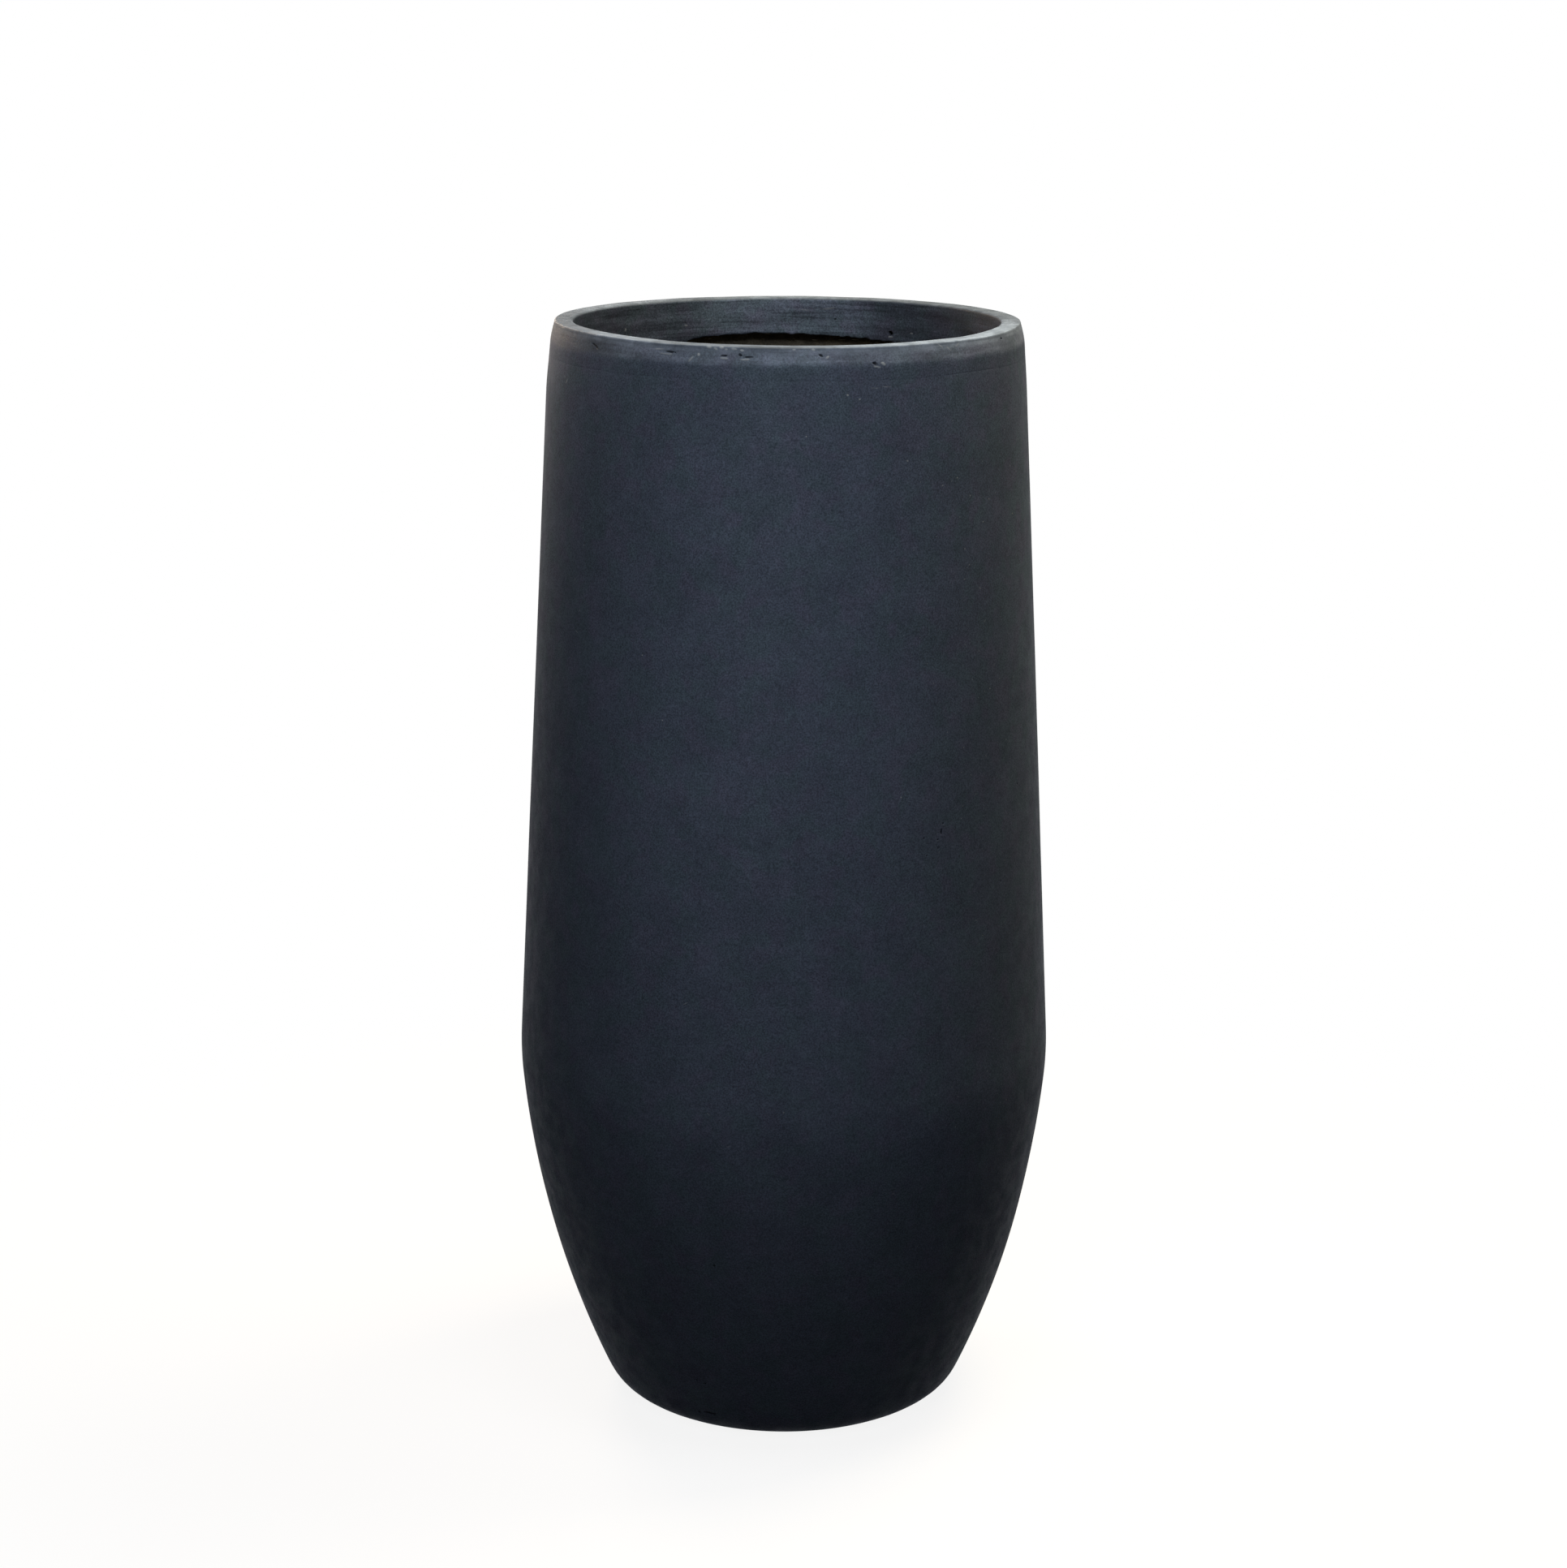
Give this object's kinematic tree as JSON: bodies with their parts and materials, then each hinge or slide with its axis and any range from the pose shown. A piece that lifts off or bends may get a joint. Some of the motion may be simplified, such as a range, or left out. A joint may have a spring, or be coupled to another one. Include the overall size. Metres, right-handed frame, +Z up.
{
  "type": "tall round floor planter",
  "caption": "Tall round concrete floor planter: slim rounded base, low widest line, wall leaning in, thick rim with an inner lip, plugged drain hole.",
  "frame": {"origin": "on the planter's axis, on the surface that it stands on", "axes": "+Z up along the planter's axis, towards the mouth; X and Y are level"},
  "size_m": [0.2918, 0.2918, 0.6],
  "materials": {
    "charcoal_concrete": "matte",
    "rim_concrete": "matte",
    "raw_concrete": "rough",
    "glass_fibre": "woven",
    "sleeve_plastic": "matte",
    "black_rubber": "matte"
  },
  "bodies": {
    "planter": {"face_coat": "charcoal_concrete", "fibre_mat": "glass_fibre", "backing_wall": "raw_concrete", "rim_ring": "rim_concrete", "floor_slab": "raw_concrete", "drain_sleeve": "sleeve_plastic", "foot_pads": "black_rubber"},
    "plug": {"drain_plug": "black_rubber"}
  },
  "joints": [
    {"name": "plug_lift", "type": "slide", "parent": "planter", "child": "plug", "axis": [0, 0, 1], "range_m": [0, 0.62]}
  ]
}
